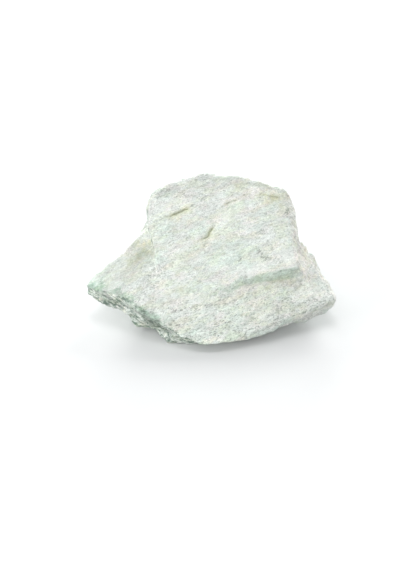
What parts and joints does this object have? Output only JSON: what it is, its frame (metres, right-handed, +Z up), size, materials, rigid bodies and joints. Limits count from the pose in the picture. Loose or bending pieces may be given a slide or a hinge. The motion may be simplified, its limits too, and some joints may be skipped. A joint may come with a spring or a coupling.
{
  "type": "fuchsite stone",
  "caption": "Rough hand-sized piece of pale green fuchsite quartzite with a broad sloping cleavage face, a stepped edge and broken sides.",
  "frame": {"origin": "middle of the bottom of the stone's bounding box, on the surface it lies on", "axes": "+X along the stone's longest side, +Y to the back, away from the broad sloping cleavage face, +Z up"},
  "size_m": [0.078, 0.0538, 0.0398],
  "materials": {
    "fuchsite_quartzite": "rough, sugary broken surface: white quartz grains with pale mint-green mica, dark specks and yellow-olive staining"
  },
  "bodies": {
    "root": {"fuchsite_stone": "fuchsite_quartzite"}
  },
  "joints": []
}
